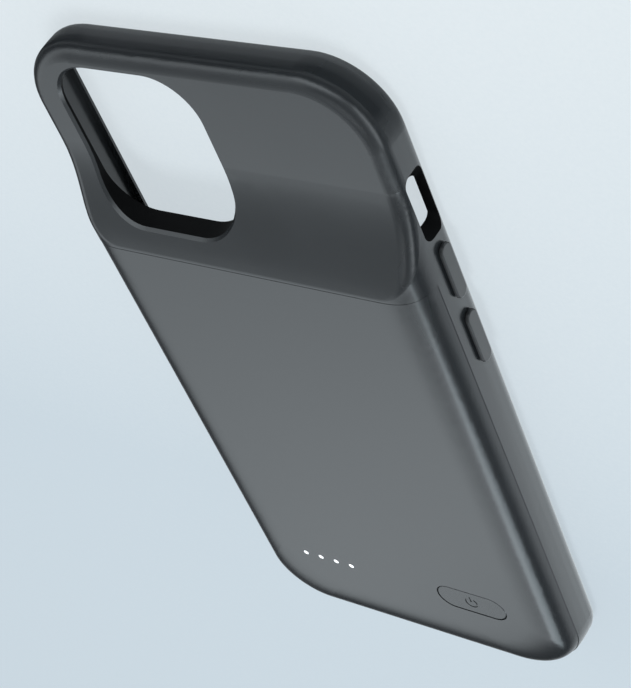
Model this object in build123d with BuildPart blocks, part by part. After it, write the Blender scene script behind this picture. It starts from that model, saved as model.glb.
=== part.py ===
from build123d import *
from math import cos, radians, sin
import os

os.makedirs("parts", exist_ok=True)

# Phone that the case holds
phone_length = 146.7
phone_width = 71.5
phone_thickness = 7.4
phone_corner = 10.5
phone_clearance = 0.3
phone_depth_clearance = 0.05

# Soft frame round the phone
side_wall = 1.95
top_wall = 2.0
chin_length = 7.7
lip_height = 0.5
lip_overlap = 1.3
corner_radius = 14.0
chin_corner = 11.0
front_round = 2.8
rim_step = 0.2
seam_gap = 0.15
seam_inset = 0.12

# Battery pack in the hump, from the phone outwards
tray_thickness = 0.8
tape_thickness = 0.15
cell_thickness = 3.8
cell_gap = 0.35
cover_wall = 1.2

# Rolled edges of the back
roll_start = 4.5
roll_power = 3.4
roll_draft = 0.03
side_roll = 9.5
end_roll = 12.5
roll_steps = 10

# Scoop at the top end: crest, ramp and thin panel
crest_from_top = 43.3
seam_to_crest = 0.5
crest_run = 6.0
crest_drop = 0.84
foot_from_top = 22.5
foot_run = 10.0
panel_foot = 1.1
panel_end = 0.9
scoop_round = 2.8

# Camera window
window_width = 31.4
window_length = 34.2
window_from_top = 4.0
window_from_left = 7.7
window_corner = 9.0
window_bevel = 0.5

# Cored underside of the ramp
ramp_wall = 1.4
ramp_skin = 2.1
rib_thickness = 1.2
pocket_from_foot = 8.0
pocket_flat = 0.6
pocket_count = 5
pocket_margin = 6.0

# Sizes that follow from the ones above
bay_width = phone_width + 2 * phone_clearance
bay_length = phone_length + 2 * phone_clearance
bay_corner = phone_corner + phone_clearance
case_width = bay_width + 2 * side_wall
case_length = bay_length + top_wall + chin_length
half_width = case_width / 2
half_length = case_length / 2
bay_low = -half_length + chin_length
bay_high = half_length - top_wall
bay_middle = (bay_low + bay_high) / 2
bay_ceiling = lip_height + phone_thickness + phone_depth_clearance
lip_reach = lip_overlap + phone_clearance
phone_mid = lip_height + phone_thickness / 2
parting = bay_ceiling + rim_step
tray_top = bay_ceiling + tray_thickness
cell_bottom = tray_top + tape_thickness
cell_top = cell_bottom + cell_thickness
cover_inside = cell_top + cell_gap
case_height = cover_inside + cover_wall
crest_y = half_length - crest_from_top
seam_y = crest_y - seam_to_crest
foot_y = half_length - foot_from_top
foot_z = bay_ceiling + panel_foot
end_z = bay_ceiling + panel_end
panel_slope = (foot_z - end_z) / (half_length - foot_y)
window_x = -half_width + window_from_left + window_width / 2
window_y = half_length - window_from_top - window_length / 2
window_low = window_y - window_length / 2
window_right = window_x + window_width / 2
seam_plane = Plane(origin=(0, seam_y, 0), z_dir=(0, 1, 0))
UP = (Align.CENTER, Align.CENTER, Align.MIN)


def round_corners(face, wall):
    """Round the corners of a case outline, tighter at the chin than at the top end."""
    fillet(face.vertices().sort_by(Axis.Y)[:2], chin_corner - wall)
    fillet(face.vertices().sort_by(Axis.Y)[-2:], corner_radius - wall)


def pillow(wall, inset=0):
    """Block with rolled edges from mid height to the back, shrunk by a wall and set in at its sides."""
    with BuildPart() as block:
        for step in range(roll_steps + 1):
            angle = radians(90 * step / roll_steps)
            reach = (sin(angle) ** roll_power + abs(cos(angle)) ** roll_power) ** (1 / roll_power)
            rise = sin(angle) / reach
            run = 1 - abs(cos(angle)) / reach
            level = roll_start + (case_height - wall - roll_start) * rise
            lean = wall + inset + roll_draft * (level - roll_start)
            low = -half_length + end_roll * run + lean
            high = half_length - side_roll * run - lean
            width = case_width - 2 * (side_roll * run + lean)
            with BuildSketch(Plane.XY.offset(level)) as face:
                with Locations((0, (low + high) / 2)):
                    Rectangle(width, high - low)
                round_corners(face, wall)
        loft()
    return block.part


outer_pillow = pillow(0)

# Lower band of the frame beside the battery
with BuildPart() as side_band:
    add(outer_pillow)
    split(bisect_by=Plane.XY.offset(parting), keep=Keep.BOTTOM)
    split(bisect_by=seam_plane, keep=Keep.BOTTOM)

# Top end of the frame with the scooped ramp
with BuildPart() as top_shell:
    add(outer_pillow)
    with BuildSketch(Plane.YZ):
        with BuildLine():
            Bezier(
                (crest_y, case_height),
                (crest_y + crest_run, case_height - crest_drop),
                (foot_y - foot_run, foot_z + foot_run * panel_slope),
                (foot_y, foot_z),
            )
            Line((foot_y, foot_z), (half_length + 1, end_z - panel_slope))
            Polyline(
                (half_length + 1, end_z - panel_slope),
                (half_length + 1, roll_start),
                (seam_y, roll_start),
                (seam_y, case_height),
                (crest_y, case_height),
            )
        make_face()
    extrude(amount=half_width + 1, both=True, mode=Mode.INTERSECT)
    scoop_edges = top_shell.edges().filter_by(lambda e: e.center().Y > crest_y - 0.01)
    scoop_edges = scoop_edges.filter_by(lambda e: e.center().Z > parting + 0.5)
    scoop_edges = scoop_edges.filter_by(lambda e: abs(e.center().Y - foot_y) > 0.01)
    fillet(scoop_edges, scoop_round)

# Side buttons of the frame
button_travel = 0.35
button_cap = 0.6
button_height = 3.0
button_length = 12.4
lock_length = 17.0
button_margin = 0.8
button_clearance = 0.15
button_recess = 0.75
button_flange = 0.55
button_flange_margin = 0.6
button_round = 0.25
volume_up_from_top = 43.9
volume_down_from_top = 60.1
lock_from_top = 48.0

# Opening for the phone's side switch
switch_from_top = 28.6
switch_outer = (14.2, 5.6)
switch_inner = (9.6, 4.6)
switch_corner = 1.8

# Connector module in the chin
block_width = 14.8
block_length = 5.1
block_height = 5.7
block_clearance = 0.2
chin_inner_wall = 1.2
port_width = 8.94
port_height = 3.26
port_wall = 0.3
port_depth = 5.1
port_recess = 0.2
port_clearance = 0.15
tongue_width = 6.7
tongue_height = 0.7
tongue_length = 4.4
plug_width = 6.7
plug_height = 1.5
plug_length = 6.7
plug_tip_round = 1.2
plug_edge_round = 0.3
plug_clearance = 0.2
contact_count = 8
contact_pitch = 0.72
contact_width = 0.4
contact_length = 3.2
contact_thickness = 0.05
contact_inset = 1.2
sound_slot_count = 5
sound_slot_pitch = 2.3
sound_slot_width = 1.2
sound_slot_height = 3.2
sound_slot_from_bay = 16.0

# Fasteners of the pack
boss_radius = 1.5
boss_from_side = 4.8
boss_from_chin = 10.8
boss_from_seam = 5.7
pilot_radius = 0.6
pilot_depth = 2.3
screw_head_radius = 1.3
screw_head_height = 0.6
screw_shank_radius = 0.58
screw_length = 2.5
drive_length = 1.2
drive_width = 0.3
drive_depth = 0.25
seat_clearance = 0.05
tray_clearance = 0.1

# Battery cell
cell_from_side = 8.0
cell_from_board = 1.4
cell_from_seam = 3.7
cell_corner = 2.5
cell_edge = 0.8
terrace_inset = 5.0
terrace_length = 4.2
terrace_thickness = 0.6
guard_width = 26.0
guard_length = 3.6
guard_thickness = 0.6
tape_width = 12.0
tape_length = 64.0
tape_spacing = 34.0

# Circuit board
board_from_side = 8.0
board_length = 18.8
board_thickness = 0.8
board_from_bay_end = 1.8
standoff_radius = 1.6
standoff_height = 0.6
board_screw_from_side = 3.5
board_screw_inset = 2.5

# Parts on the board, placed from its middle and its lower edge
chip_side = 5.0
chip_height = 0.9
chip_left_x = -18.0
chip_left_rise = 6.0
chip_right_x = -8.0
chip_right_rise = 8.0
inductor_width = 6.6
inductor_length = 6.2
inductor_height = 1.8
inductor_corner = 1.2
inductor_x = 12.0
inductor_rise = 4.5
capacitor_length = 1.6
capacitor_width = 0.8
capacitor_height = 0.8
capacitor_pitch = 1.6
capacitor_left_x = -13.0
capacitor_left_rise = 3.0
capacitor_right_x = 7.0
capacitor_right_rise = 9.0
socket_width = 6.0
socket_length = 4.0
socket_height = 2.0
socket_inset = 3.4

# Leads and flexible strip
lead_radius = 0.5
lead_bend = 1.0
lead_pitch = 2.4
lead_spread = 6.0
lead_overlap = 1.0
lead_straight = 2.0
lead_entry = 1.6
flex_width = 8.0
flex_thickness = 0.2
flex_bend = 1.2
flex_inset = 1.0
flex_landing = 2.0

# Controls on the back
control_from_bottom = 21.9
power_from_side = 18.9
power_length = 16.2
power_width = 6.9
power_clearance = 0.15
power_margin = 0.7
power_flange = 0.5
power_gap = 0.2
power_sink = 0.03
power_travel = 0.3
mark_radius = 1.5
mark_stroke = 0.34
mark_depth = 0.15
led_from_side = 15.0
led_pitch = 4.0
led_count = 4
led_radius = 0.6
led_clearance = 0.05
guide_bar = 0.8
guide_margin = 1.4
led_size = (1.6, 0.8, 0.6)
guide_gap = 0.3
switch_body = (3.6, 3.2, 1.4)
switch_body_corner = 0.3
plunger_radius = 0.8
plunger_height = 0.7
plunger_clearance = 0.1
stem_radius = 1.4

# Places that follow from the sizes above
bay_side = bay_width / 2
sound_slot_offset = bay_side - sound_slot_from_bay
boss_x = half_width - boss_from_side
power_x = half_width - power_from_side
led_first_x = -half_width + led_from_side
cell_width = case_width - 2 * cell_from_side
terrace_width = cell_width - 2 * terrace_inset
board_width = case_width - 2 * board_from_side
board_screw_x = board_width / 2 - board_screw_from_side
volume_up_y = half_length - volume_up_from_top
volume_down_y = half_length - volume_down_from_top
lock_y = half_length - lock_from_top
switch_y = half_length - switch_from_top
block_high = bay_low - chin_inner_wall - block_clearance
block_low = block_high - block_length
port_face = -half_length + port_recess
port_end = port_face + port_depth
board_low = bay_low + board_from_bay_end
board_high = board_low + board_length
board_bottom = tray_top + standoff_height
board_top = board_bottom + board_thickness
cell_high = seam_y - cell_from_seam
cell_low = board_high + cell_from_board + terrace_length
cell_length = cell_high - cell_low
terrace_top = cell_bottom + terrace_thickness
guard_top = terrace_top + guard_thickness
guard_y = cell_low - terrace_length / 2
control_y = -half_length + control_from_bottom
socket_face = board_high - socket_inset
socket_z = board_top + socket_height / 2
lead_z = guard_top + lead_radius
flex_z = board_top + flex_thickness / 2
plug_end = bay_low + plug_length
flange_top = cover_inside - power_gap
flange_bottom = flange_top - power_flange
plunger_top = board_top + switch_body[2] + plunger_height - plunger_clearance
boss_rows = (bay_low + boss_from_chin, (bay_low + seam_y) / 2, seam_y - boss_from_seam)
boss_points = [(side * boss_x, row) for row in boss_rows for side in (-1, 1)]
board_points = [(side * board_screw_x, board_low + board_screw_inset) for side in (-1, 1)]
led_points = [(led_first_x + led_pitch * index, control_y) for index in range(led_count)]
led_middle = led_first_x + led_pitch * (led_count - 1) / 2
pocket_span = case_width - 2 * pocket_margin
pocket_width = (pocket_span - (pocket_count - 1) * rib_thickness) / pocket_count
pocket_low = seam_y + ramp_wall
pocket_top = case_height - ramp_skin
pocket_reach = foot_y - pocket_from_foot
pocket_bend = pocket_low + pocket_flat

# Soft frame: walls, front lip, chin, ramp and thin top panel in one moulding
with BuildPart() as bumper_frame:
    with BuildSketch() as face:
        Rectangle(case_width, case_length)
        round_corners(face, 0)
    extrude(amount=roll_start)
    fillet(bumper_frame.faces().sort_by(Axis.Z)[0].edges(), front_round)
    add(side_band.part)
    add(top_shell.part)
    with BuildSketch(Plane.XY.offset(lip_height)):
        with Locations((0, bay_middle)):
            RectangleRounded(bay_width, bay_length, bay_corner)
    extrude(amount=bay_ceiling - lip_height, mode=Mode.SUBTRACT)
    with BuildSketch():
        with Locations((0, bay_middle)):
            RectangleRounded(bay_width - 2 * lip_reach, bay_length - 2 * lip_reach, bay_corner - lip_reach)
    extrude(amount=lip_height, mode=Mode.SUBTRACT)
    with BuildSketch(Plane.XY.offset(bay_ceiling)):
        with Locations((0, bay_middle)):
            RectangleRounded(bay_width, bay_length, bay_corner)
        with Locations((0, seam_y - case_length / 2)):
            Rectangle(case_width, case_length, mode=Mode.INTERSECT)
    extrude(amount=rim_step, mode=Mode.SUBTRACT)

    # Ribbed pockets under the ramp, shorter beside the camera window
    for index in range(pocket_count):
        left = -pocket_span / 2 + index * (pocket_width + rib_thickness)
        reach = pocket_reach
        if left < window_right + ramp_wall:
            reach = window_low - ramp_wall
        rise = (pocket_top - bay_ceiling) * (pocket_reach - reach) / (pocket_reach - pocket_bend)
        with BuildSketch(Plane.YZ.offset(left)):
            with BuildLine():
                Polyline(
                    (pocket_low, bay_ceiling),
                    (pocket_low, pocket_top),
                    (pocket_bend, pocket_top),
                    (reach, bay_ceiling + rise),
                    (reach, bay_ceiling - 0.01),
                    (pocket_low, bay_ceiling - 0.01),
                    (pocket_low, bay_ceiling),
                )
            make_face()
        extrude(amount=pocket_width, mode=Mode.SUBTRACT)

    # Camera window with a bevelled edge
    with BuildSketch(Plane.XY.offset(bay_ceiling)):
        with Locations((window_x, window_y)):
            RectangleRounded(window_width, window_length, window_corner)
    extrude(amount=case_height, mode=Mode.SUBTRACT)
    window_edges = bumper_frame.edges().filter_by(lambda e: e.center().Z > end_z - 0.1)
    window_edges = window_edges.filter_by(lambda e: abs(e.center().X - window_x) < window_width / 2 + 0.1)
    window_edges = window_edges.filter_by(lambda e: abs(e.center().Y - window_y) < window_length / 2 + 0.1)
    window_edges = window_edges.filter_by(Axis.Z, reverse=True)
    chamfer(window_edges, window_bevel)

    # Slots and inner recesses of the two volume buttons and the lock button
    for wall_x, place, length in (
        (bay_side, volume_up_y, button_length),
        (bay_side, volume_down_y, button_length),
        (-half_width, lock_y, lock_length),
    ):
        neck = length - 2 * button_margin
        stem = button_height - 2 * button_margin
        recess = bay_side if wall_x > 0 else -bay_side - button_recess
        with BuildSketch(Plane.YZ.offset(wall_x)):
            with Locations((place, phone_mid)):
                SlotOverall(neck + 2 * button_clearance, stem + 2 * button_clearance)
        extrude(amount=side_wall, mode=Mode.SUBTRACT)
        with BuildSketch(Plane.YZ.offset(recess)):
            with Locations((place, phone_mid)):
                SlotOverall(
                    neck + 2 * button_flange_margin + 2 * button_clearance,
                    stem + 2 * button_flange_margin + 2 * button_clearance,
                )
        extrude(amount=button_recess, mode=Mode.SUBTRACT)

    # Slanted opening over the phone's side switch
    with BuildSketch(Plane.YZ.offset(bay_side)):
        with Locations((switch_y, phone_mid)):
            RectangleRounded(switch_inner[0], switch_inner[1], switch_corner)
    with BuildSketch(Plane.YZ.offset(half_width)):
        with Locations((switch_y, phone_mid)):
            RectangleRounded(switch_outer[0], switch_outer[1], switch_corner)
    loft(mode=Mode.SUBTRACT)

    # Chin: room for the connector module, its two ways out and the sound slots
    with BuildSketch(Plane.XY.offset(phone_mid - block_height / 2 - block_clearance)):
        with Locations((0, (block_low + block_high) / 2)):
            Rectangle(block_width + 2 * block_clearance, block_length + 2 * block_clearance)
    extrude(amount=case_height, mode=Mode.SUBTRACT)
    with BuildSketch(Plane.XZ.offset(half_length)):
        with Locations((0, phone_mid)):
            SlotOverall(port_width + 2 * port_clearance, port_height + 2 * port_clearance)
    extrude(amount=-chin_length / 2, mode=Mode.SUBTRACT)
    with BuildSketch(Plane.XZ.offset(-bay_low)):
        with Locations((0, phone_mid)):
            Rectangle(plug_width + 2 * plug_clearance, plug_height + 2 * plug_clearance)
    extrude(amount=chin_length / 2, mode=Mode.SUBTRACT)
    with BuildSketch(Plane.XZ.offset(half_length)):
        for side in (-1, 1):
            with Locations((side * sound_slot_offset, phone_mid)):
                with GridLocations(sound_slot_pitch, 1, sound_slot_count, 1):
                    SlotOverall(sound_slot_height, sound_slot_width, rotation=90)
    extrude(amount=-chin_length, mode=Mode.SUBTRACT)
bumper_frame.part.label = "bumper_frame"
export_step(bumper_frame.part, "parts/bumper_frame.step")

# Hard battery cover: rolled shell with an end wall at the seam
with BuildPart() as cover_core:
    add(pillow(cover_wall))
    split(bisect_by=seam_plane.offset(-cover_wall), keep=Keep.BOTTOM)

with BuildPart() as cover_bosses:
    add(pillow(cover_wall / 2))
    with BuildSketch(Plane.XY.offset(tray_top)):
        with Locations(*boss_points):
            Circle(boss_radius)
    extrude(amount=case_height, mode=Mode.INTERSECT)

with BuildPart() as battery_cover:
    add(pillow(0, seam_inset))
    split(bisect_by=Plane.XY.offset(parting), keep=Keep.TOP)
    split(bisect_by=seam_plane.offset(-seam_gap), keep=Keep.BOTTOM)
    add(cover_core.part, mode=Mode.SUBTRACT)
    add(cover_bosses.part)
    with BuildSketch(Plane.XY.offset(tray_top)):
        with Locations(*boss_points):
            Circle(pilot_radius)
    extrude(amount=pilot_depth, mode=Mode.SUBTRACT)
    with BuildSketch(Plane.XY.offset(flange_bottom)):
        with Locations(*led_points):
            Circle(led_radius + led_clearance)
        with Locations((power_x, control_y)):
            SlotOverall(power_length + 2 * power_clearance, power_width + 2 * power_clearance)
    extrude(amount=cover_wall + case_height - flange_bottom, mode=Mode.SUBTRACT)
battery_cover.part.label = "battery_cover"
export_step(battery_cover.part, "parts/battery_cover.step")

# Plate between the phone and the battery, with standoffs for the board
with BuildPart() as inner_tray:
    with BuildSketch(Plane.XY.offset(bay_ceiling)):
        with Locations((0, bay_middle)):
            RectangleRounded(bay_width - 2 * tray_clearance, bay_length - 2 * tray_clearance, bay_corner)
        with Locations((0, seam_y - cover_wall - tray_clearance - case_length / 2)):
            Rectangle(case_width, case_length, mode=Mode.INTERSECT)
    extrude(amount=tray_thickness)
    with BuildSketch(Plane.XY.offset(tray_top)):
        with Locations(*board_points):
            Circle(standoff_radius)
    extrude(amount=standoff_height)
    with BuildSketch(Plane.XY.offset(bay_ceiling)):
        with Locations(*boss_points, *board_points):
            Circle(pilot_radius)
    extrude(amount=tray_thickness + standoff_height, mode=Mode.SUBTRACT)
    with Locations(*[(x, y, bay_ceiling) for x, y in boss_points]):
        Cone(
            screw_head_radius + seat_clearance,
            screw_shank_radius + seat_clearance,
            screw_head_height + seat_clearance,
            align=UP,
            mode=Mode.SUBTRACT,
        )
inner_tray.part.label = "inner_tray"
export_step(inner_tray.part, "parts/inner_tray.step")

# Six flat-head screws through the tray into the cover
with BuildPart() as tray_screws:
    with Locations(*[(x, y, bay_ceiling) for x, y in boss_points]):
        Cone(screw_head_radius, screw_shank_radius, screw_head_height, align=UP)
        Cylinder(screw_shank_radius, screw_length, align=UP)
        Box(drive_length, drive_width, drive_depth, align=UP, mode=Mode.SUBTRACT)
        Box(drive_width, drive_length, drive_depth, align=UP, mode=Mode.SUBTRACT)
tray_screws.part.label = "tray_screws"
export_step(tray_screws.part, "parts/tray_screws.step")

# Pouch cell with the sealed terrace at its lower end
with BuildPart() as battery_cell:
    with BuildSketch(Plane.XY.offset(cell_bottom)):
        with Locations((0, (cell_low + cell_high) / 2)):
            RectangleRounded(cell_width, cell_length, cell_corner)
    extrude(amount=cell_thickness)
    fillet(battery_cell.faces().sort_by(Axis.Z)[-1].edges(), cell_edge)
    fillet(battery_cell.faces().sort_by(Axis.Z)[0].edges(), cell_edge)
    with BuildSketch(Plane.XY.offset(cell_bottom)):
        with Locations((0, cell_low - terrace_length / 2 + cell_corner / 2)):
            Rectangle(terrace_width, terrace_length + cell_corner)
    extrude(amount=terrace_thickness)
battery_cell.part.label = "battery_cell"
export_step(battery_cell.part, "parts/battery_cell.step")

# Two strips of tape that hold the cell on the tray
with BuildPart() as battery_tape:
    with BuildSketch(Plane.XY.offset(tray_top)):
        with Locations((0, (cell_low + cell_high) / 2)):
            with GridLocations(tape_spacing, 1, 2, 1):
                Rectangle(tape_width, tape_length)
    extrude(amount=tape_thickness)
battery_tape.part.label = "battery_tape"
export_step(battery_tape.part, "parts/battery_tape.step")

# Protection board of the cell
with BuildPart() as cell_protection_board:
    with BuildSketch(Plane.XY.offset(terrace_top)):
        with Locations((0, guard_y)):
            Rectangle(guard_width, guard_length)
    extrude(amount=guard_thickness)
cell_protection_board.part.label = "cell_protection_board"
export_step(cell_protection_board.part, "parts/cell_protection_board.step")

# Main board of the charger
with BuildPart() as circuit_board:
    with BuildSketch(Plane.XY.offset(board_bottom)):
        with Locations((0, (board_low + board_high) / 2)):
            RectangleRounded(board_width, board_length, standoff_radius)
        with Locations(*board_points):
            Circle(pilot_radius, mode=Mode.SUBTRACT)
    extrude(amount=board_thickness)
circuit_board.part.label = "circuit_board"
export_step(circuit_board.part, "parts/circuit_board.step")

# Two pan-head screws that hold the board
with BuildPart() as board_screws:
    with Locations(*[(x, y, board_top) for x, y in board_points]):
        Cylinder(screw_head_radius, screw_head_height, align=UP)
        Cylinder(screw_shank_radius, board_top - tray_top, align=(Align.CENTER, Align.CENTER, Align.MAX))
    with Locations(*[(x, y, board_top + screw_head_height - drive_depth) for x, y in board_points]):
        Box(drive_length, drive_width, drive_depth, align=UP, mode=Mode.SUBTRACT)
        Box(drive_width, drive_length, drive_depth, align=UP, mode=Mode.SUBTRACT)
board_screws.part.label = "board_screws"
export_step(board_screws.part, "parts/board_screws.step")

# Parts soldered to the board
with BuildPart() as power_chips:
    with Locations(
        (chip_left_x, board_low + chip_left_rise, board_top),
        (chip_right_x, board_low + chip_right_rise, board_top),
    ):
        Box(chip_side, chip_side, chip_height, align=UP)
power_chips.part.label = "power_chips"
export_step(power_chips.part, "parts/power_chips.step")

with BuildPart() as power_inductor:
    with Locations((inductor_x, board_low + inductor_rise, board_top)):
        Box(inductor_width, inductor_length, inductor_height, align=UP)
    fillet(power_inductor.edges().filter_by(Axis.Z), inductor_corner)
power_inductor.part.label = "power_inductor"
export_step(power_inductor.part, "parts/power_inductor.step")

with BuildPart() as ceramic_capacitors:
    with Locations(
        (capacitor_left_x, board_low + capacitor_left_rise, board_top),
        (capacitor_right_x, board_low + capacitor_right_rise, board_top),
    ):
        with GridLocations(capacitor_length, capacitor_pitch, 1, 3):
            Box(capacitor_length, capacitor_width, capacitor_height, align=UP)
ceramic_capacitors.part.label = "ceramic_capacitors"
export_step(ceramic_capacitors.part, "parts/ceramic_capacitors.step")

with BuildPart() as battery_connector:
    with Locations((0, socket_face - socket_length / 2, board_top)):
        Box(socket_width, socket_length, socket_height, align=UP)
battery_connector.part.label = "battery_connector"
export_step(battery_connector.part, "parts/battery_connector.step")

# Leads from the protection board to the connector
with BuildPart() as battery_lead_positive:
    with BuildLine() as positive_path:
        FilletPolyline(
            (-lead_spread / 2, guard_y + lead_overlap, lead_z),
            (-lead_spread / 2, guard_y - lead_straight, lead_z),
            (-lead_pitch / 2, socket_face + lead_entry, socket_z),
            (-lead_pitch / 2, socket_face, socket_z),
            radius=lead_bend,
        )
    with BuildSketch(Plane(origin=positive_path.line @ 0, z_dir=positive_path.line % 0)):
        Circle(lead_radius)
    sweep()
battery_lead_positive.part.label = "battery_lead_positive"
export_step(battery_lead_positive.part, "parts/battery_lead_positive.step")

with BuildPart() as battery_lead_negative:
    with BuildLine() as negative_path:
        FilletPolyline(
            (lead_spread / 2, guard_y + lead_overlap, lead_z),
            (lead_spread / 2, guard_y - lead_straight, lead_z),
            (lead_pitch / 2, socket_face + lead_entry, socket_z),
            (lead_pitch / 2, socket_face, socket_z),
            radius=lead_bend,
        )
    with BuildSketch(Plane(origin=negative_path.line @ 0, z_dir=negative_path.line % 0)):
        Circle(lead_radius)
    sweep()
battery_lead_negative.part.label = "battery_lead_negative"
export_step(battery_lead_negative.part, "parts/battery_lead_negative.step")

# Light-emitting chips and the clear guide that brings their light to the back
with BuildPart() as indicator_leds:
    with Locations(*[(x, y, board_top) for x, y in led_points]):
        Box(led_size[0], led_size[1], led_size[2], align=UP)
indicator_leds.part.label = "indicator_leds"
export_step(indicator_leds.part, "parts/indicator_leds.step")

guide_length = led_pitch * (led_count - 1) + 2 * guide_margin
guide_low = board_top + led_size[2] + guide_gap
with BuildPart() as led_light_guide:
    with BuildSketch(Plane.XY.offset(cover_inside - guide_bar)):
        with Locations((led_middle, control_y)):
            SlotOverall(guide_length, 2 * guide_margin)
    extrude(amount=guide_bar)
    with BuildSketch(Plane.XY.offset(guide_low)):
        with Locations(*led_points):
            Circle(led_radius)
    extrude(amount=case_height - power_sink - guide_low)
led_light_guide.part.label = "led_light_guide"
export_step(led_light_guide.part, "parts/led_light_guide.step")

# Tact switch under the power button
with BuildPart() as tact_switch_body:
    with BuildSketch(Plane.XY.offset(board_top)):
        with Locations((power_x, control_y)):
            RectangleRounded(switch_body[0], switch_body[1], switch_body_corner)
    extrude(amount=switch_body[2])
    with BuildSketch(Plane.XY.offset(board_top + switch_body[2])):
        with Locations((power_x, control_y)):
            Circle(plunger_radius + plunger_clearance)
    extrude(amount=-plunger_height, mode=Mode.SUBTRACT)
tact_switch_body.part.label = "tact_switch_body"
export_step(tact_switch_body.part, "parts/tact_switch_body.step")

with BuildPart() as tact_switch_plunger:
    with BuildSketch(Plane.XY.offset(plunger_top - plunger_height)):
        with Locations((power_x, control_y)):
            Circle(plunger_radius)
    extrude(amount=plunger_height)
tact_switch_plunger.part.label = "tact_switch_plunger"
export_step(tact_switch_plunger.part, "parts/tact_switch_plunger.step")

# Power button: cap in the cover, hidden flange and stem, engraved power mark
with BuildPart() as power_button:
    with BuildSketch(Plane.XY.offset(flange_bottom)):
        with Locations((power_x, control_y)):
            SlotOverall(power_length + 2 * power_margin, power_width + 2 * power_margin)
    extrude(amount=power_flange)
    with BuildSketch(Plane.XY.offset(flange_bottom)):
        with Locations((power_x, control_y)):
            SlotOverall(power_length, power_width)
    extrude(amount=case_height - power_sink - flange_bottom)
    fillet(power_button.faces().sort_by(Axis.Z)[-1].edges(), button_round)
    with BuildSketch(Plane.XY.offset(plunger_top)):
        with Locations((power_x, control_y)):
            Circle(stem_radius)
    extrude(amount=flange_bottom - plunger_top)
    with BuildSketch(Plane.XY.offset(case_height - power_sink - mark_depth)):
        with Locations((power_x, control_y)):
            Circle(mark_radius)
            Circle(mark_radius - mark_stroke, mode=Mode.SUBTRACT)
        with Locations((power_x, control_y + mark_radius)):
            Rectangle(4 * mark_stroke, 2 * mark_radius, mode=Mode.SUBTRACT)
        with Locations((power_x, control_y + mark_radius * 0.75)):
            Rectangle(mark_stroke, mark_radius * 1.1)
    extrude(amount=mark_depth, mode=Mode.SUBTRACT)
power_button.part.label = "power_button"
export_step(power_button.part, "parts/power_button.step")


def side_button(side, place, length):
    """Pad outside the wall, neck through its slot and flange in the inner recess; side is 1 or -1."""
    neck = length - 2 * button_margin
    stem = button_height - 2 * button_margin
    flange_x = bay_side + button_recess - button_flange - power_gap / 2
    cap_x = half_width + button_travel
    with BuildPart() as button:
        with BuildSketch(Plane.YZ.offset(side * flange_x)):
            with Locations((place, phone_mid)):
                SlotOverall(neck + 2 * button_flange_margin, stem + 2 * button_flange_margin)
        extrude(amount=side * button_flange)
        with BuildSketch(Plane.YZ.offset(side * flange_x)):
            with Locations((place, phone_mid)):
                SlotOverall(neck, stem)
        extrude(amount=side * (cap_x - flange_x))
        with BuildSketch(Plane.YZ.offset(side * cap_x)):
            with Locations((place, phone_mid)):
                SlotOverall(length, button_height)
        extrude(amount=side * button_cap)
        outer_face = button.faces().sort_by(Axis.X)[-1 if side > 0 else 0]
        fillet(outer_face.edges(), button_round)
    return button.part


volume_up_button = side_button(1, volume_up_y, button_length)
volume_up_button.label = "volume_up_button"
export_step(volume_up_button, "parts/volume_up_button.step")

volume_down_button = side_button(1, volume_down_y, button_length)
volume_down_button.label = "volume_down_button"
export_step(volume_down_button, "parts/volume_down_button.step")

lock_button = side_button(-1, lock_y, lock_length)
lock_button.label = "lock_button"
export_step(lock_button, "parts/lock_button.step")

# Connector module: insulating block, port for the charging cable, plug for the phone
with BuildPart() as connector_block:
    with Locations((0, (block_low + block_high) / 2, phone_mid)):
        Box(block_width, block_length, block_height)
    with BuildSketch(Plane.XZ.offset(-block_low)):
        with Locations((0, phone_mid)):
            SlotOverall(port_width, port_height)
    extrude(amount=-(port_end - block_low), mode=Mode.SUBTRACT)
connector_block.part.label = "connector_block"
export_step(connector_block.part, "parts/connector_block.step")

with BuildPart() as charge_port_shell:
    with BuildSketch(Plane.XZ.offset(-port_face)):
        with Locations((0, phone_mid)):
            SlotOverall(port_width, port_height)
            SlotOverall(port_width - 2 * port_wall, port_height - 2 * port_wall, mode=Mode.SUBTRACT)
    extrude(amount=-port_depth)
charge_port_shell.part.label = "charge_port_shell"
export_step(charge_port_shell.part, "parts/charge_port_shell.step")

with BuildPart() as charge_port_tongue:
    with BuildSketch(Plane.XZ.offset(-port_end)):
        with Locations((0, phone_mid)):
            Rectangle(tongue_width, tongue_height)
    extrude(amount=tongue_length)
charge_port_tongue.part.label = "charge_port_tongue"
export_step(charge_port_tongue.part, "parts/charge_port_tongue.step")

with BuildPart() as plug_tab:
    with BuildSketch(Plane.XY.offset(phone_mid - plug_height / 2)):
        with BuildLine():
            FilletPolyline(
                (-plug_width / 2, block_high),
                (-plug_width / 2, plug_end),
                (plug_width / 2, plug_end),
                (plug_width / 2, block_high),
                radius=plug_tip_round,
            )
            Line((plug_width / 2, block_high), (-plug_width / 2, block_high))
        make_face()
    extrude(amount=plug_height)
    fillet(plug_tab.faces().sort_by(Axis.Z)[-1].edges().filter_by(Axis.X, reverse=True), plug_edge_round)
    fillet(plug_tab.faces().sort_by(Axis.Z)[0].edges().filter_by(Axis.X, reverse=True), plug_edge_round)
plug_tab.part.label = "plug_tab"
export_step(plug_tab.part, "parts/plug_tab.step")

with BuildPart() as plug_contacts:
    with BuildSketch(Plane.XY.offset(phone_mid + plug_height / 2)):
        with Locations((0, plug_end - contact_length / 2 - contact_inset)):
            with GridLocations(contact_pitch, 1, contact_count, 1):
                Rectangle(contact_width, contact_length)
    extrude(amount=contact_thickness)
    mirror(about=Plane.XY.offset(phone_mid))
plug_contacts.part.label = "plug_contacts"
export_step(plug_contacts.part, "parts/plug_contacts.step")

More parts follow.
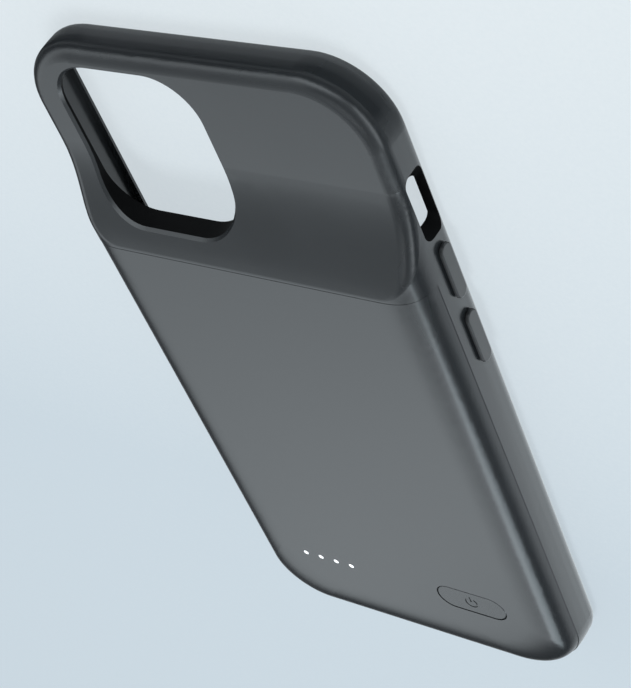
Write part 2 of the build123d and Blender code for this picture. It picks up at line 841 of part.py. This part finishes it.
# Flexible strip from the connector module to the board
with BuildPart() as connector_flex:
    with BuildSketch(Plane.YZ.offset(-flex_width / 2)):
        with BuildLine():
            FilletPolyline(
                (block_high - flex_inset, phone_mid + block_height / 2),
                (block_high - flex_inset, flex_z),
                (board_low + flex_landing, flex_z),
                radius=flex_bend,
            )
        trace(line_width=flex_thickness)
    extrude(amount=flex_width)
connector_flex.part.label = "connector_flex"
export_step(connector_flex.part, "parts/connector_flex.step")
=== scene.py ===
# %% [markdown]
# # A battery charging case, dressed for its picture
#
# The case is a soft bumper frame with a hard battery cover on its back. The shapes come
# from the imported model, so this lesson is about the rest: where the camera stands, what the
# light does on a dark satin plastic, and how each finish is built from nodes.

import bpy
import numpy as np
from mathutils import Matrix, Vector


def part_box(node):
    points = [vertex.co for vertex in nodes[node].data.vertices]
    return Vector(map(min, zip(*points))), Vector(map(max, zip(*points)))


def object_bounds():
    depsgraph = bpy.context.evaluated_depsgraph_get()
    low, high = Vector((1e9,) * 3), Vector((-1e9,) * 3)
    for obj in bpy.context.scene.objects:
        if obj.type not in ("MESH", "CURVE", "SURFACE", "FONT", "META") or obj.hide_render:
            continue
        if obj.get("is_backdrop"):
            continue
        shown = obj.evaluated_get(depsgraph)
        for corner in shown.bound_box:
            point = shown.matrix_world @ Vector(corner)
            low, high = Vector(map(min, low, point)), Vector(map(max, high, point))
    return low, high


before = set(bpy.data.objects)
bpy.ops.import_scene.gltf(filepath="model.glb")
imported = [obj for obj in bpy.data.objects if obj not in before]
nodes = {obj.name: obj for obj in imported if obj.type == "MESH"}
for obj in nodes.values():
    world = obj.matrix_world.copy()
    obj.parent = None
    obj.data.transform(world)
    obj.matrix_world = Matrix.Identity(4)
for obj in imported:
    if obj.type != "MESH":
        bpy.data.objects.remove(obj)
cad_low, cad_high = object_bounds()
print("nodes:", len(nodes), "size in mm:", [round(1000 * v, 2) for v in cad_high - cad_low])

# %% [markdown]
# ## The camera
#
# The case lies face down, and it is seen from above its window end with the picture turned,
# so that the long side runs from the upper left to the lower right. A camera can be aimed
# with a constraint, but a turned one is clearer as three axes: its back, its up, and its
# right, which is the cross product of the two. A long lens keeps the sides nearly parallel.

# %% Camera
camera_place = Vector((0.20591, 0.24814, 0.17983))
camera_back = Vector((0.57006, 0.66592, 0.48123)).normalized()
camera_up = Vector((-0.18221, 0.67360, -0.71628))
camera_right = camera_up.cross(camera_back).normalized()
camera_up = camera_back.cross(camera_right)

lens_data = bpy.data.cameras.new("case_camera")
lens_data.sensor_fit = "VERTICAL"
lens_data.sensor_height = 36.0
lens_data.sensor_width = 36.0
lens_data.lens = 100.17
lens_data.clip_start = 0.01
camera = bpy.data.objects.new("case_camera", lens_data)
camera.matrix_world = Matrix.Translation(camera_place) @ Matrix(
    (camera_right, camera_up, camera_back)
).transposed().to_4x4()
bpy.context.collection.objects.link(camera)
bpy.context.scene.camera = camera
bpy.context.scene.view_settings.view_transform = "Standard"
print("camera stands", round(camera_place.length, 3), "m from the middle of the case")

# %% [markdown]
# ## Small helpers for node finishes
#
# Every finish below is the same short story: a pattern on Object coordinates, which are
# metres on this model, drives the colour, the gloss and a very small relief. These helpers
# each add one sentence of that story to a material's node tree.


# %% Node helpers
def new_finish(name, **plain):
    """A node material whose Principled shader has the given plain socket values."""
    material = bpy.data.materials.new(name)
    material.use_nodes = True
    tree = material.node_tree
    shader = tree.nodes["Principled BSDF"]
    for socket, value in plain.items():
        shader.inputs[socket.replace("_", " ")].default_value = value
    return material, tree, shader


def on_object(tree, stretch=(1.0, 1.0, 1.0)):
    """Object coordinates, times a stretch along each axis."""
    coordinates = tree.nodes.new("ShaderNodeTexCoord")
    mapping = tree.nodes.new("ShaderNodeMapping")
    mapping.inputs["Scale"].default_value = stretch
    tree.links.new(coordinates.outputs["Object"], mapping.inputs["Vector"])
    return mapping.outputs["Vector"]


def speckle(tree, where, per_metre, detail=2.0):
    """Smooth noise from 0 to 1 with about per_metre bumps to a metre."""
    noise = tree.nodes.new("ShaderNodeTexNoise")
    noise.inputs["Scale"].default_value = per_metre
    noise.inputs["Detail"].default_value = detail
    noise.inputs["Roughness"].default_value = 0.5
    tree.links.new(where, noise.inputs["Vector"])
    return noise.outputs["Fac"]


def spread(tree, pattern, low, high, from_low=0.0, from_high=1.0):
    """Number that runs from low to high as the pattern runs over its own range."""
    ranged = tree.nodes.new("ShaderNodeMapRange")
    ranged.inputs["From Min"].default_value = from_low
    ranged.inputs["From Max"].default_value = from_high
    ranged.inputs["To Min"].default_value = low
    ranged.inputs["To Max"].default_value = high
    tree.links.new(pattern, ranged.inputs["Value"])
    return ranged.outputs["Result"]


def combine(tree, operation, first, second):
    """First and second joined by a Math operation such as ADD; either may be a plain value."""
    node = tree.nodes.new("ShaderNodeMath")
    node.operation = operation
    for socket, value in zip(node.inputs, (first, second)):
        if isinstance(value, float):
            socket.default_value = value
        else:
            tree.links.new(value, socket)
    return node.outputs["Value"]


def tint(tree, pattern, dark, light, low=0.35, high=0.65):
    """Colour that runs from dark to light as the pattern runs from low to high."""
    ramp = tree.nodes.new("ShaderNodeValToRGB")
    ramp.color_ramp.elements[0].position = low
    ramp.color_ramp.elements[0].color = (*dark, 1.0)
    ramp.color_ramp.elements[1].position = high
    ramp.color_ramp.elements[1].color = (*light, 1.0)
    tree.links.new(pattern, ramp.inputs["Fac"])
    return ramp.outputs["Color"]


def relief(tree, shader, pattern, depth, strength=1.0):
    """Small relief: the pattern from 0 to 1 stands depth metres high."""
    bump = tree.nodes.new("ShaderNodeBump")
    bump.inputs["Strength"].default_value = strength
    bump.inputs["Distance"].default_value = depth
    tree.links.new(pattern, bump.inputs["Height"])
    tree.links.new(bump.outputs["Normal"], shader.inputs["Normal"])


def dress(material, *names):
    """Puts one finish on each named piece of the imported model."""
    for name in names:
        mesh = nodes[name].data
        mesh.materials.clear()
        mesh.materials.append(material)
    print(material.name, "on", ", ".join(names))


# %% [markdown]
# ## Light
#
# A dark satin case shows its roundings by what it mirrors, so the room matters more than the
# lamps. The room here is a light tent: a bright ring all round at the height of a low window,
# a dimmer ceiling and a dark skirting. The flat back mirrors the ring, the roundings run
# through ceiling, ring and skirting one after the other, and that draws the soft bands along
# each long edge. A ramp on the height of the direction makes such a room in the world.

# %% Light tent: ring, ceiling and skirting
world = bpy.data.worlds.new("light_tent")
bpy.context.scene.world = world
world.use_nodes = True
tent = world.node_tree
tent_direction = tent.nodes.new("ShaderNodeTexCoord")
towards = tent.nodes.new("ShaderNodeSeparateXYZ")
tent.links.new(tent_direction.outputs["Generated"], towards.inputs["Vector"])
tent_ramp = tent.nodes.new("ShaderNodeValToRGB")
# Each stop is the sine of the height above the floor, and how bright the tent is there.
skirting_stops = [(0.0, 0.02), (0.20, 0.03)]
ring_stops = [(0.30, 0.40), (0.37, 0.90), (0.44, 0.95), (0.53, 0.79)]
ceiling_stops = [(0.66, 0.38), (0.80, 0.25), (0.88, 0.22), (0.97, 0.60)]
tent_stops = skirting_stops + ring_stops + ceiling_stops
while len(tent_ramp.color_ramp.elements) < len(tent_stops):
    tent_ramp.color_ramp.elements.new(0.5)
for stop, (height, level) in zip(tent_ramp.color_ramp.elements, tent_stops):
    stop.position = height
    stop.color = (level, level, level, 1.0)
print("light tent with", len(tent_stops), "stops")

# %% [markdown]
# The tent isn't the same all round. Over the right half the ring is brighter and starts higher,
# and it comes down again at the far right. Between the walls there and the lit patch straight
# over the case the tent is dark, and the rim of the scoop mirrors that as its dark lines. Behind
# the lower end the ring fades out. All of this is arithmetic on the three parts of the direction:
# each line says between which two values of X, Y or Z one brightness or height goes to another.

# %% Light tent: its sides
left_right, near_far, up_down = (towards.outputs[part] for part in "XYZ")
raised = spread(tent, left_right, 0.0, -0.15, -0.50, -0.17)
lowered_again = spread(tent, left_right, 0.0, 0.15, 0.64, 0.80)
ring_height = combine(tent, "ADD", up_down, combine(tent, "ADD", raised, lowered_again))
tent.links.new(ring_height, tent_ramp.inputs["Fac"])

right_brighter = spread(tent, left_right, 0.72, 1.30, -0.69, -0.42)
lower_end_fades = spread(tent, near_far, 0.12, 1.0, -0.87, -0.755)
left_wall = spread(tent, left_right, 1.0, 0.0, -0.45, -0.10)
right_wall = spread(tent, left_right, 0.0, 1.0, 0.64, 0.80)
far_wall = spread(tent, near_far, 1.0, 0.20, -0.70, -0.61)
near_wall = spread(tent, near_far, 0.0, 1.0, 0.55, 0.75)
overhead = spread(tent, up_down, 0.0, 1.0, 0.90, 0.97)
long_walls = combine(tent, "MAXIMUM", left_wall, right_wall)
end_walls = combine(tent, "MAXIMUM", far_wall, near_wall)
walls = combine(tent, "MAXIMUM", combine(tent, "MAXIMUM", long_walls, end_walls), overhead)
evenness = combine(tent, "MULTIPLY", right_brighter, lower_end_fades)
sides = combine(tent, "MULTIPLY", evenness, walls)
ring = combine(tent, "MULTIPLY", tent_ramp.outputs["Color"], sides)
print("tent nodes for the ring:", len(tent.nodes))

# %% [markdown]
# Under the case hangs a pale sheet, dark towards the horizon and brightest past the lower end,
# and the upright walls of the case mirror it. Ring and sheet together, a little blue, are the
# world.

# %% Light tent: its sheet
tent_strength = 1.30
tent_colour = (0.875, 0.955, 1.0, 1.0)
sheet_depth = spread(tent, up_down, 1.0, 0.0, -0.50, -0.04)
sheet_far = spread(tent, near_far, 1.05, 0.25, -0.735, -0.47)
sheet_near = spread(tent, near_far, 0.0, 0.25, 0.15, 0.45)
sheet = combine(tent, "MULTIPLY", sheet_depth, combine(tent, "ADD", sheet_far, sheet_near))
tent_level = combine(tent, "MULTIPLY", combine(tent, "ADD", ring, sheet), tent_strength)
tent.links.new(tent_level, tent.nodes["Background"].inputs["Strength"])
tent.nodes["Background"].inputs["Color"].default_value = tent_colour
print("tent nodes in all:", len(tent.nodes))

# %% [markdown]
# A softbox stands beyond the far corner, low over the long side with the buttons. It is what
# the rounding of that side mirrors as its lightest band. A lamp shines along its own -Z, so
# turning its Z axis along its place points it at the case, which lies at the origin.


# %% Side softbox
def aimed_lamp(lamp_data, place):
    """A lamp at a place, turned to shine on the middle of the case."""
    lamp = bpy.data.objects.new(lamp_data.name, lamp_data)
    lamp.location = place
    lamp.rotation_mode = "QUATERNION"
    lamp.rotation_quaternion = place.to_track_quat("Z", "Y")
    bpy.context.collection.objects.link(lamp)
    return lamp


softbox_data = bpy.data.lights.new("side_softbox", "AREA")
softbox_data.shape = "RECTANGLE"
softbox_data.size = 0.42
softbox_data.size_y = 0.38
softbox_data.energy = 0.95
softbox_data.color = (0.80, 0.93, 1.0)
softbox = aimed_lamp(softbox_data, Vector((0.48, -0.83, 0.43)))
print(softbox.name, softbox_data.size, "by", softbox_data.size_y, "m")

# %% [markdown]
# A second softbox hangs high over the middle. It only lifts the floor and the shades that
# the plastic has of its own: mirrored rays pass it by, as a large diffuse ceiling would look.

# %% High softbox
high_data = bpy.data.lights.new("high_softbox", "AREA")
high_data.shape = "DISK"
high_data.size = 0.6
high_data.energy = 7.0
high_softbox = aimed_lamp(high_data, Vector((0.25, -0.15, 1.15)))
high_softbox.visible_glossy = False
print(high_softbox.name, round(high_softbox.location.length, 2), "m away")

# %% [markdown]
# ## Floor
#
# The floor is a pale blue-grey sheet, large enough to fill the picture. It is a flat grid, a hair
# below the rim of the case so that no two faces share a plane. Only its colour varies: a fine paper
# grain, and a painted fall of light, lighter at the near end of the room and darker at the far one.


# %% Floor
def grid_mesh(name, points):
    """A mesh from an array of points shaped (rows, columns, 3): one quad between neighbours."""
    rows, columns, _ = points.shape
    index = np.arange(rows * columns).reshape(rows, columns)
    corners = [index[:-1, :-1], index[:-1, 1:], index[1:, 1:], index[1:, :-1]]
    quads = np.stack(corners, -1).reshape(-1, 4)
    mesh = bpy.data.meshes.new(name)
    mesh.from_pydata(points.reshape(-1, 3).tolist(), [], quads.tolist())
    mesh.update()
    return mesh


floor_reach = 3.0
floor_lines = 9
floor_height = -0.0003
floor_steps = np.linspace(-floor_reach, floor_reach, floor_lines)
floor_x, floor_y = np.meshgrid(floor_steps, floor_steps)
floor_points = np.stack([floor_x, floor_y, np.full_like(floor_x, floor_height)], axis=-1)
floor = bpy.data.objects.new("floor", grid_mesh("floor", floor_points))
bpy.context.collection.objects.link(floor)

# Far and near shades of the paper: the ends of a painted fall of light.
paper_far = (0.615, 0.705, 0.77)
paper_near = (0.785, 0.85, 0.885)
paper, tree, shader = new_finish("pale_paper", Roughness=0.9, Specular_IOR_Level=0.1)
across = tree.nodes.new("ShaderNodeSeparateXYZ")
tree.links.new(on_object(tree), across.inputs["Vector"])
paper_grain = speckle(tree, on_object(tree), 1400.0, detail=3.0)
# Painted light: the colour gets lighter towards the near end of the room.
fall = spread(tree, across.outputs["Y"], 0.0, 1.0, -0.06, 0.10)
grained_painted_fall = combine(tree, "ADD", fall, spread(tree, paper_grain, -0.12, 0.12))
paper_colour = tint(tree, grained_painted_fall, paper_far, paper_near, 0.0, 1.0)
tree.links.new(paper_colour, shader.inputs["Base Color"])
floor.data.materials.append(paper)
print("floor reaches", floor_reach, "m")

# %% [markdown]
# Photographers lay a black card beside a dark edge to draw it clearly. One lies a few
# millimetres off the top end here, bent round its two corners, with soft borders: only mirrored
# rays will meet it, and it darkens the upper part of that wall. It is no piece, only a number
# on the floor, from 0 for no card to 1. The corners of the case are arcs, so the distance from
# the middle of such an arc, or from the line between both, says how far off the wall we are.

# %% Black card
arc_middle = (0.024, 0.0645)
card_from, card_full = 0.0145, 0.0215
card_fades, card_gone = 0.028, 0.038
card_stop = 0.0715

from_axis = combine(tree, "ABSOLUTE", across.outputs["X"], 0.0)
past_arc_x = combine(tree, "MAXIMUM", combine(tree, "SUBTRACT", from_axis, arc_middle[0]), 0.0)
past_arc_y = combine(tree, "SUBTRACT", across.outputs["Y"], arc_middle[1])
past_arc_y = combine(tree, "MAXIMUM", past_arc_y, 0.0)
square_x = combine(tree, "POWER", past_arc_x, 2.0)
square_y = combine(tree, "POWER", past_arc_y, 2.0)
from_arc = combine(tree, "POWER", combine(tree, "ADD", square_x, square_y), 0.5)
inner_border = spread(tree, from_arc, 0.0, 1.0, card_from, card_full)
outer_border = spread(tree, from_arc, 1.0, 0.0, card_fades, card_gone)
end_border = spread(tree, across.outputs["Y"], 0.0, 1.0, arc_middle[1], card_stop)
card = combine(tree, "MULTIPLY", combine(tree, "MULTIPLY", inner_border, outer_border), end_border)
print("black card", round(1000 * (card_gone - card_from), 1), "mm wide")

# %% [markdown]
# The paper is thin and glows a little, so shadows on it are pale: for the camera, most of its
# shade is its own colour, unlit. For mirrored rays the floor is open, and the walls of the
# case show the tent's pale sheet in its place, less the card.

# %% Floor glow
glow_share = 0.8
rays = tree.nodes.new("ShaderNodeLightPath")
glow = tree.nodes.new("ShaderNodeEmission")
tree.links.new(paper_colour, glow.inputs["Color"])
camera_ray, clear_ray = rays.outputs["Is Camera Ray"], rays.outputs["Is Transmission Ray"]
seen_straight = combine(tree, "MAXIMUM", camera_ray, clear_ray)
glowing = tree.nodes.new("ShaderNodeMixShader")
tree.links.new(combine(tree, "MULTIPLY", seen_straight, glow_share), glowing.inputs["Fac"])
tree.links.new(shader.outputs["BSDF"], glowing.inputs[1])
tree.links.new(glow.outputs["Emission"], glowing.inputs[2])

clear = tree.nodes.new("ShaderNodeBsdfTransparent")
tree.links.new(combine(tree, "SUBTRACT", 1.0, card), clear.inputs["Color"])
opened = tree.nodes.new("ShaderNodeMixShader")
tree.links.new(rays.outputs["Is Glossy Ray"], opened.inputs["Fac"])
tree.links.new(glowing.outputs["Shader"], opened.inputs[1])
tree.links.new(clear.outputs["BSDF"], opened.inputs[2])
tree.links.new(opened.outputs["Shader"], tree.nodes["Material Output"].inputs["Surface"])
floor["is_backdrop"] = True
print("floor glows", glow_share, "of its shade")

# %% [markdown]
# ## The soft frame
#
# The frame is moulded in a rubbery charcoal plastic with a satin skin. The skin has a grain
# too fine to see one by one, which spreads a mirrored lamp into a band, and slow drifts of
# shade and gloss from the mould.

# %% Soft frame
frame_dark = (0.0265, 0.0295, 0.0325)
frame_light = (0.0305, 0.0337, 0.037)
satin_frame, tree, shader = new_finish("satin_frame", Specular_IOR_Level=1.0)
fine_grain = speckle(tree, on_object(tree), 5200.0)
mould_drift = speckle(tree, on_object(tree), 45.0)
tree.links.new(tint(tree, mould_drift, frame_dark, frame_light), shader.inputs["Base Color"])
tree.links.new(spread(tree, mould_drift, 0.21, 0.26), shader.inputs["Roughness"])
relief(tree, shader, fine_grain, 0.000004, 0.4)
dress(satin_frame, "bumper_frame")

# %% [markdown]
# ## Painted shade on two walls
#
# The wall of the window and the slanted wall round the small opening in the long side are the
# frame's own plastic, coloured near black and matt: painted shade for the shade inside these
# hollows. A second finish on the same piece needs the faces that take it. They could be picked by
# hand, but a rule is safer when the shape changes: a face belongs to the window wall when its
# middle lies on the rounded rectangle of the window, seen from above, and to the side opening when
# it lies in that opening's block and looks towards its middle.

# %% Find the faces of the walls
window_centre = np.array((-0.0146, 0.0574))
window_half = np.array((0.0157, 0.0171))
window_corner = 0.009
opening_middle = np.array((0.037, 0.0499, 0.0042))
opening_half = np.array((0.0011, 0.0072, 0.0029))
wall_skin = 0.00015

frame_faces = nodes["bumper_frame"].data.polygons
middles = np.zeros(3 * len(frame_faces), np.float32)
outward = np.zeros(3 * len(frame_faces), np.float32)
frame_faces.foreach_get("center", middles)
frame_faces.foreach_get("normal", outward)
middles = middles.reshape(-1, 3)
outward = outward.reshape(-1, 3)


def from_window(points):
    """Distance off the window's outline: past the middles of its corner arcs, less their radius."""
    beyond = np.abs(points[:, :2] - window_centre) - window_half + window_corner
    return np.linalg.norm(np.maximum(beyond, 0.0), axis=1) - window_corner


upright = np.abs(outward[:, 2]) < 0.3
on_window = (np.abs(from_window(middles)) < wall_skin) & upright
from_opening = middles - opening_middle
looks_in = np.sum(outward[:, 1:] * from_opening[:, 1:], axis=1) < -0.0001
in_opening = np.all(np.abs(from_opening) < opening_half, axis=1) & looks_in
painted_shade_faces = on_window | in_opening
print("window wall faces:", int(on_window.sum()), "side opening faces:", int(in_opening.sum()))

# %% Painted shade on those faces
painted_shade_wall, tree, shader = new_finish("window_wall_painted_shade", Specular_IOR_Level=0.12)
matt_grain = speckle(tree, on_object(tree), 6500.0, detail=3.0)
# Near black colour: painted shade inside the window and the side opening.
painted_black_shade = tint(tree, matt_grain, (0.0022, 0.0022, 0.0025), (0.0040, 0.0040, 0.0045))
tree.links.new(painted_black_shade, shader.inputs["Base Color"])
tree.links.new(spread(tree, matt_grain, 0.55, 0.75), shader.inputs["Roughness"])
relief(tree, shader, matt_grain, 0.000006, 0.5)
nodes["bumper_frame"].data.materials.append(painted_shade_wall)
# The faces of those two walls take the painted shade.
frame_faces.foreach_set("material_index", painted_shade_faces.astype(np.int32))
print(painted_shade_wall.name, "on", int(painted_shade_faces.sum()), "faces of bumper_frame")

# %% [markdown]
# ## The battery cover
#
# The cover is a hard shell with a soft-touch coat in the same charcoal. Sprayed coats level
# out, so its drift is broader than the frame's and its grain a little softer.

# %% Battery cover
cover_dark = (0.0285, 0.0315, 0.0345)
cover_light = (0.0325, 0.0357, 0.039)
soft_touch, tree, shader = new_finish("soft_touch_coat", Specular_IOR_Level=1.0)
spray_grain = speckle(tree, on_object(tree), 4200.0)
spray_drift = speckle(tree, on_object(tree), 22.0)
tree.links.new(tint(tree, spray_drift, cover_dark, cover_light), shader.inputs["Base Color"])
tree.links.new(spread(tree, spray_drift, 0.22, 0.26), shader.inputs["Roughness"])
relief(tree, shader, spray_grain, 0.000004, 0.4)
dress(soft_touch, "battery_cover")

# %% [markdown]
# ## Buttons
#
# The power button is moulded in the cover's own colour, with a power mark cut into its top.
# The mark is a groove, and its colour is darkened with the depth below the top: painted shade in
# the groove. The side pads are rubber like the frame and a touch glossier, because fingers polish
# them.

# %% Power button
button_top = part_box("power_button")[1][2]
groove_depth = 0.00015
power_finish, tree, shader = new_finish("power_button_satin", Specular_IOR_Level=1.0)
spray_grain = speckle(tree, on_object(tree), 4200.0)
height = tree.nodes.new("ShaderNodeSeparateXYZ")
tree.links.new(on_object(tree), height.inputs["Vector"])
below_top = spread(tree, height.outputs["Z"], 0.0, 1.0, button_top - groove_depth, button_top)
# Painted shade: darker towards the floor of the groove.
painted_groove_shade = tint(tree, below_top, (0.012, 0.012, 0.013), cover_light, 0.2, 0.7)
tree.links.new(painted_groove_shade, shader.inputs["Base Color"])
tree.links.new(spread(tree, spray_grain, 0.23, 0.30), shader.inputs["Roughness"])
relief(tree, shader, spray_grain, 0.000004, 0.4)
dress(power_finish, "power_button")
print("power button top at", round(1000 * button_top, 2), "mm")

# %% Side pads
pad_rubber, tree, shader = new_finish("pad_rubber", Specular_IOR_Level=0.9)
pad_grain = speckle(tree, on_object(tree), 3600.0, detail=3.0)
pad_shade = tint(tree, pad_grain, (0.026, 0.027, 0.029), (0.031, 0.033, 0.035))
tree.links.new(pad_shade, shader.inputs["Base Color"])
tree.links.new(spread(tree, pad_grain, 0.26, 0.36), shader.inputs["Roughness"])
relief(tree, shader, pad_grain, 0.000005, 0.5)
dress(pad_rubber, "volume_up_button", "volume_down_button", "lock_button")

# %% [markdown]
# ## Charge lights
#
# Four pegs of one clear-white guide come up through the cover and show as lit dots. Milky
# plastic scatters light on its way out, so the shader has a little glow of its own, speckled
# as moulded resin is.

# %% Charge lights
milky, tree, shader = new_finish("milky_guide", Roughness=0.35, Emission_Strength=0.75)
milk = speckle(tree, on_object(tree), 2500.0)
milk_shade = tint(tree, milk, (0.82, 0.84, 0.86), (0.90, 0.91, 0.92))
milk_glow = tint(tree, milk, (0.86, 0.92, 0.96), (0.94, 0.97, 1.0))
tree.links.new(milk_shade, shader.inputs["Base Color"])
tree.links.new(milk_glow, shader.inputs["Emission Color"])
dress(milky, "led_light_guide")

phosphor, tree, shader = new_finish("phosphor_window", Roughness=0.4)
dots = speckle(tree, on_object(tree), 9000.0)
phosphor_shade = tint(tree, dots, (0.72, 0.66, 0.36), (0.80, 0.76, 0.50))
tree.links.new(phosphor_shade, shader.inputs["Base Color"])
relief(tree, shader, dots, 0.00001)
dress(phosphor, "indicator_leds")

# %% [markdown]
# ## Plastics inside
#
# The tray, the connector block and the small housings on the board are plain mouldings. One
# recipe serves them all: two near shades, a gloss that follows the same grain, and a relief
# that says how coarse the mould was.


# %% Moulded plastics
def moulding(name, dark, light, smooth, rough, per_metre, depth):
    """Moulded plastic: shade, gloss and relief all follow one grain."""
    material, tree, shader = new_finish(name)
    grain = speckle(tree, on_object(tree), per_metre, detail=4.0)
    tree.links.new(tint(tree, grain, dark, light), shader.inputs["Base Color"])
    tree.links.new(spread(tree, grain, smooth, rough), shader.inputs["Roughness"])
    relief(tree, shader, grain, depth, 0.6)
    return material


# Each row: finish, darkest and lightest shade, lowest and highest roughness, grains to a metre,
# depth of the grain in metres, and the pieces that wear it.
mouldings = [
    ("tray_plastic", (0.022, 0.022, 0.024), (0.034, 0.034, 0.037),
     0.50, 0.64, 2600.0, 0.00001, ("inner_tray",)),
    ("connector_nylon", (0.018, 0.018, 0.020), (0.028, 0.028, 0.031),
     0.40, 0.52, 3200.0, 0.000006, ("connector_block", "charge_port_tongue")),
    ("socket_nylon", (0.66, 0.63, 0.54), (0.74, 0.71, 0.62),
     0.38, 0.5, 3000.0, 0.000006, ("battery_connector",)),
    ("chip_epoxy", (0.014, 0.014, 0.016), (0.026, 0.026, 0.028),
     0.48, 0.62, 9000.0, 0.000006, ("power_chips",)),
    ("ferrite_core", (0.045, 0.045, 0.050), (0.085, 0.085, 0.092),
     0.45, 0.7, 7000.0, 0.00001, ("power_inductor",)),
    ("fired_ceramic", (0.36, 0.25, 0.15), (0.46, 0.34, 0.21),
     0.40, 0.55, 8000.0, 0.000005, ("ceramic_capacitors",)),
    ("switch_housing", (0.02, 0.02, 0.022), (0.032, 0.032, 0.034),
     0.4, 0.5, 6000.0, 0.000004, ("tact_switch_body",)),
    ("switch_plunger", (0.30, 0.06, 0.03), (0.40, 0.09, 0.05),
     0.35, 0.45, 6000.0, 0.000004, ("tact_switch_plunger",)),
    ("red_insulation", (0.36, 0.012, 0.012), (0.44, 0.018, 0.016),
     0.30, 0.40, 1800.0, 0.000005, ("battery_lead_positive",)),
    ("black_insulation", (0.012, 0.012, 0.013), (0.020, 0.020, 0.021),
     0.30, 0.40, 1800.0, 0.000005, ("battery_lead_negative",)),
    ("film_tape", (0.66, 0.65, 0.60), (0.74, 0.73, 0.69),
     0.30, 0.45, 1500.0, 0.000008, ("battery_tape",)),
]
for *recipe, wearers in mouldings:
    dress(moulding(*recipe), *wearers)

# %% [markdown]
# ## Metals
#
# Screws, port and plug are steel, rolled and then stamped or drawn, so their scratches run
# one way. Stretching the noise along one axis makes such scratches. Gold on the contacts is
# a thin plating over a smooth strip, so its grain is finer and its relief almost nothing.


# %% Metals
def scratched(name, dark, light, smooth, rough, stretch, per_metre, depth):
    """Metal with scratches: noise on stretched coordinates drives shade, gloss and relief."""
    material, tree, shader = new_finish(name, Metallic=1.0)
    lines = speckle(tree, on_object(tree, stretch=stretch), per_metre, detail=3.0)
    tree.links.new(tint(tree, lines, dark, light), shader.inputs["Base Color"])
    tree.links.new(spread(tree, lines, smooth, rough), shader.inputs["Roughness"])
    relief(tree, shader, lines, depth, 0.5)
    return material


# Each row: finish, darkest and lightest shade, lowest and highest roughness, stretch of the
# noise along the three axes, scratches to a metre, their depth in metres, and the pieces.
metals = [
    ("screw_steel", (0.50, 0.50, 0.52), (0.62, 0.62, 0.64),
     0.24, 0.40, (1.0, 1.0, 0.2), 7000.0, 0.000004, ("tray_screws", "board_screws")),
    ("drawn_steel", (0.56, 0.56, 0.58), (0.66, 0.66, 0.68),
     0.20, 0.34, (1.0, 0.08, 1.0), 6000.0, 0.000003, ("charge_port_shell", "plug_tab")),
    ("gold_plating", (0.72, 0.50, 0.18), (0.82, 0.60, 0.25),
     0.16, 0.26, (1.0, 0.15, 1.0), 9000.0, 0.000002, ("plug_contacts",)),
]
for *recipe, wearers in metals:
    dress(scratched(*recipe), *wearers)

# %% [markdown]
# ## Cell, boards and flex
#
# The cell is a pouch of foil laminate: dull silver, softly dented by what lies under it. The
# boards have a green mask over copper, and the tracks show through as lighter strips. A brick
# pattern draws them: its bricks are the tracks, and its mortar is the bare lane between them.
# The flex is an amber film with copper lines along it, and a wave pattern draws those.

# %% Battery cell
foil, tree, shader = new_finish("pouch_foil", Metallic=0.85)
dents = speckle(tree, on_object(tree), 120.0, detail=3.0)
weave = speckle(tree, on_object(tree), 5000.0)
foil_shade = tint(tree, dents, (0.52, 0.53, 0.55), (0.62, 0.63, 0.65))
tree.links.new(foil_shade, shader.inputs["Base Color"])
tree.links.new(spread(tree, weave, 0.32, 0.46), shader.inputs["Roughness"])
relief(tree, shader, dents, 0.00018, 0.5)
dress(foil, "battery_cell")

# %% Circuit boards
mask_over_copper, tree, shader = new_finish("board_mask", Roughness=0.38)
tracks = tree.nodes.new("ShaderNodeTexBrick")
tracks.inputs["Scale"].default_value = 140.0
tracks.inputs["Mortar Size"].default_value = 0.06
tracks.inputs["Mortar Smooth"].default_value = 0.3
tracks.inputs["Brick Width"].default_value = 0.9
tracks.inputs["Row Height"].default_value = 0.16
tree.links.new(on_object(tree), tracks.inputs["Vector"])
track_green, lane_green = (0.030, 0.16, 0.075), (0.012, 0.075, 0.036)
mask_shade = tint(tree, tracks.outputs["Fac"], track_green, lane_green, 0.2, 0.8)
tree.links.new(mask_shade, shader.inputs["Base Color"])
relief(tree, shader, tracks.outputs["Fac"], 0.00003, 0.6)
dress(mask_over_copper, "circuit_board", "cell_protection_board")

# %% Connector flex
amber_film, tree, shader = new_finish("amber_flex", Roughness=0.3)
lines = tree.nodes.new("ShaderNodeTexWave")
lines.wave_type = "BANDS"
lines.bands_direction = "X"
lines.inputs["Scale"].default_value = 330.0
lines.inputs["Distortion"].default_value = 0.0
tree.links.new(on_object(tree), lines.inputs["Vector"])
amber, copper_line = (0.30, 0.13, 0.025), (0.52, 0.24, 0.06)
film_shade = tint(tree, lines.outputs["Fac"], amber, copper_line, 0.4, 0.6)
tree.links.new(film_shade, shader.inputs["Base Color"])
relief(tree, shader, lines.outputs["Fac"], 0.00002, 0.5)
dress(amber_film, "connector_flex")

# %% [markdown]
# ## Sizes, and the end
#
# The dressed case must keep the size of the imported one.

# %% Sizes and finish
seen_low, seen_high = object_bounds()
box_change = max((seen_high - cad_high).length, (seen_low - cad_low).length)
print("largest change of the box in mm:", round(1000 * box_change, 4))
